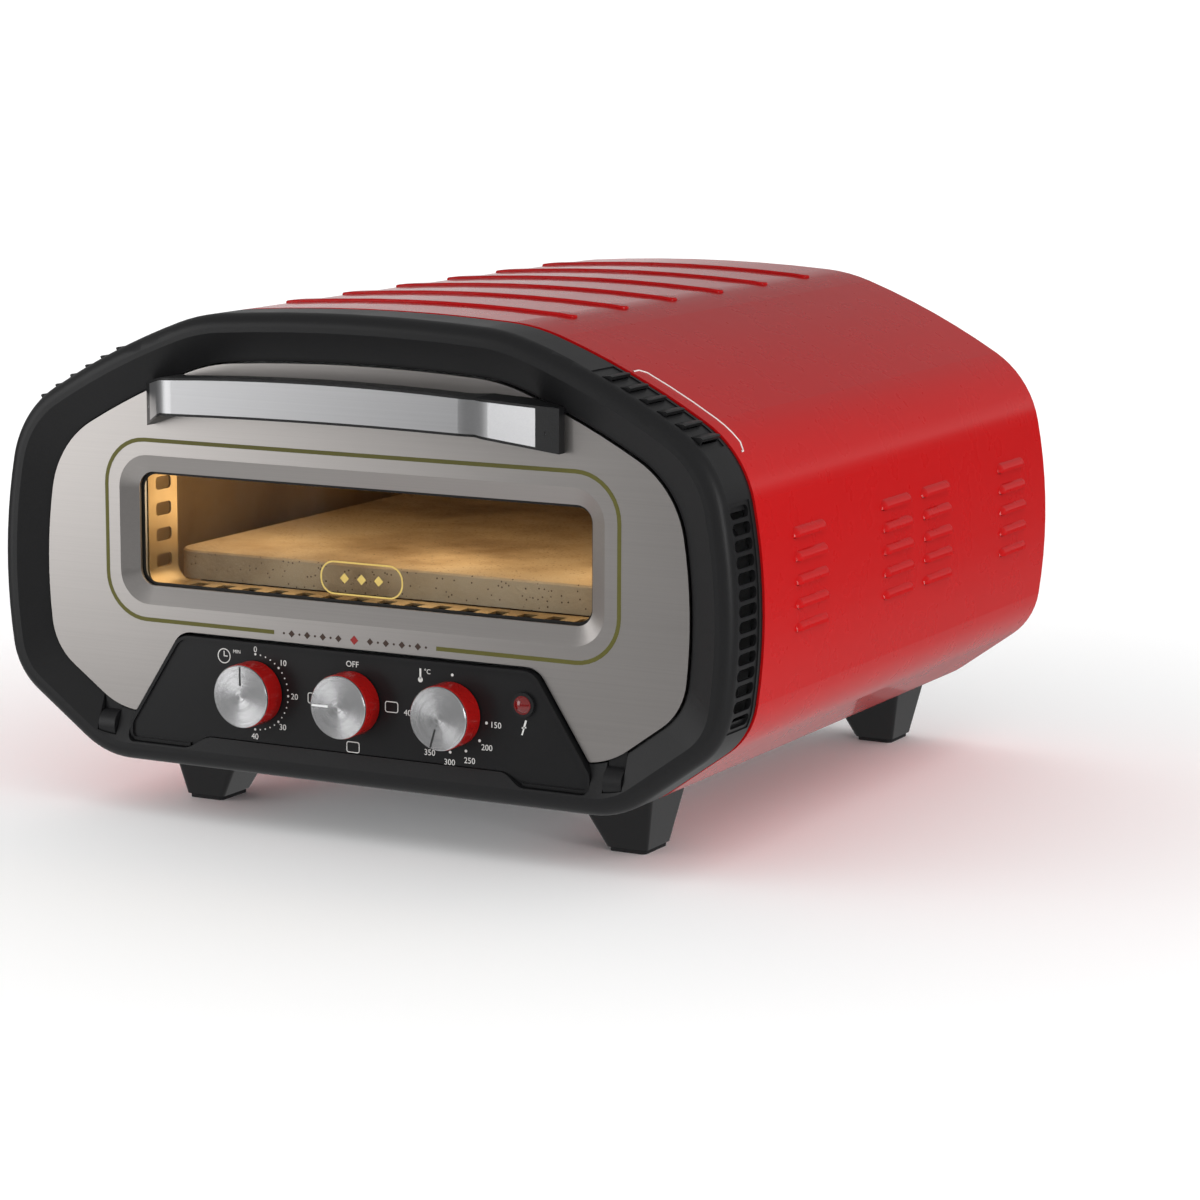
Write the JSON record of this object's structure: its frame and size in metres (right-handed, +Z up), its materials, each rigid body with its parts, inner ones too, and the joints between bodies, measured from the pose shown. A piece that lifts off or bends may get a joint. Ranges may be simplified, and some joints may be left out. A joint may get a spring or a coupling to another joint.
{
  "type": "countertop pizza oven",
  "caption": "Countertop electric pizza oven with a drop-down glazed steel door, bowed handle, rotary controls, louvred wrap casing, stone baking chamber and tapered feet.",
  "frame": {"origin": "under the middle of the oven, on the surface that the rubber feet stand on", "axes": "+Z up, +X to the right as seen from the front, the door faces -Y"},
  "size_m": [0.3438, 0.356, 0.2161],
  "materials": {
    "black_plastic": "satin",
    "black_seal": "matte",
    "blanket": "matte",
    "brushed_steel": "brushed",
    "ceramic_white": "matte",
    "chamber_steel": "satin",
    "clear_glass": "clear",
    "copper": "satin",
    "foot_plastic": "gloss",
    "galvanised": "matte",
    "heater_steel": "dark",
    "label_silver": "matte",
    "lamp_red": "gloss",
    "pad_rubber": "matte",
    "panel_plastic": "satin",
    "red_enamel": "gloss",
    "red_plastic": "gloss",
    "satin_aluminium": "satin",
    "screw_steel": "polished",
    "spun_aluminium": "spun",
    "stone": "matte"
  },
  "bodies": {
    "oven": {"baking_stone": "stone", "base_plate": "galvanised", "bulb_clips": "screw_steel", "capillary_tube": "copper", "casing": "red_enamel", "chamber_liner": "chamber_steel", "control_nuts": "screw_steel", "control_panel": "panel_plastic", "cord_gland": "black_plastic", "door_gasket": "black_seal", "foot_pads": "pad_rubber", "foot_screws": "screw_steel", "front_frame": "black_plastic", "front_left_foot": "foot_plastic", "front_plate": "galvanised", "front_right_foot": "foot_plastic", "heater_insulators": "ceramic_white", "hinge_pins": "screw_steel", "lamp_lens": "lamp_red", "lamp_ring": "black_plastic", "left_shoulder_grille": "black_plastic", "left_side_grille": "black_plastic", "lower_heater": "heater_steel", "plate_screws": "screw_steel", "rating_plate": "label_silver", "rear_left_foot": "foot_plastic", "rear_panel": "galvanised", "rear_right_foot": "foot_plastic", "rear_screws": "screw_steel", "right_shoulder_grille": "black_plastic", "right_side_grille": "black_plastic", "selector_body": "black_plastic", "stone_supports": "galvanised", "terminal_block": "ceramic_white", "thermostat_body": "galvanised", "thermostat_bulb": "copper", "timer_body": "galvanised", "top_insulation": "blanket", "upper_heater": "heater_steel"},
    "door": {"door_skin": "brushed_steel", "door_pan": "galvanised", "window_seal": "black_seal", "window_glass": "clear_glass", "glass_clamp": "galvanised", "door_collar": "chamber_steel", "handle_grip": "black_plastic", "handle_face": "satin_aluminium", "handle_screws": "screw_steel", "left_hinge_leaf": "black_plastic", "right_hinge_leaf": "black_plastic"},
    "timer_dial": {"timer_knob": "red_plastic", "timer_knob_face": "spun_aluminium", "timer_shaft": "screw_steel"},
    "selector_dial": {"selector_knob": "red_plastic", "selector_knob_face": "spun_aluminium", "selector_shaft": "screw_steel"},
    "thermostat_dial": {"thermostat_knob": "red_plastic", "thermostat_knob_face": "spun_aluminium", "thermostat_shaft": "screw_steel"}
  },
  "joints": [
    {"name": "door_hinge", "type": "hinge", "parent": "oven", "child": "door", "pos_m": [0, -0.1455, 0.0385], "axis": [1, 0, 0], "range_deg": [0, 90]},
    {"name": "timer_turn", "type": "hinge", "parent": "oven", "child": "timer_dial", "pos_m": [-0.0462, -0.1475, 0.0592], "axis": [0, 1, 0], "range_deg": [0, 190]},
    {"name": "selector_turn", "type": "hinge", "parent": "oven", "child": "selector_dial", "pos_m": [0, -0.1475, 0.0592], "axis": [0, 1, 0], "range_deg": [-270, 0]},
    {"name": "thermostat_turn", "type": "hinge", "parent": "oven", "child": "thermostat_dial", "pos_m": [0.0462, -0.1475, 0.0592], "axis": [0, 1, 0], "range_deg": [-196, 70]}
  ]
}
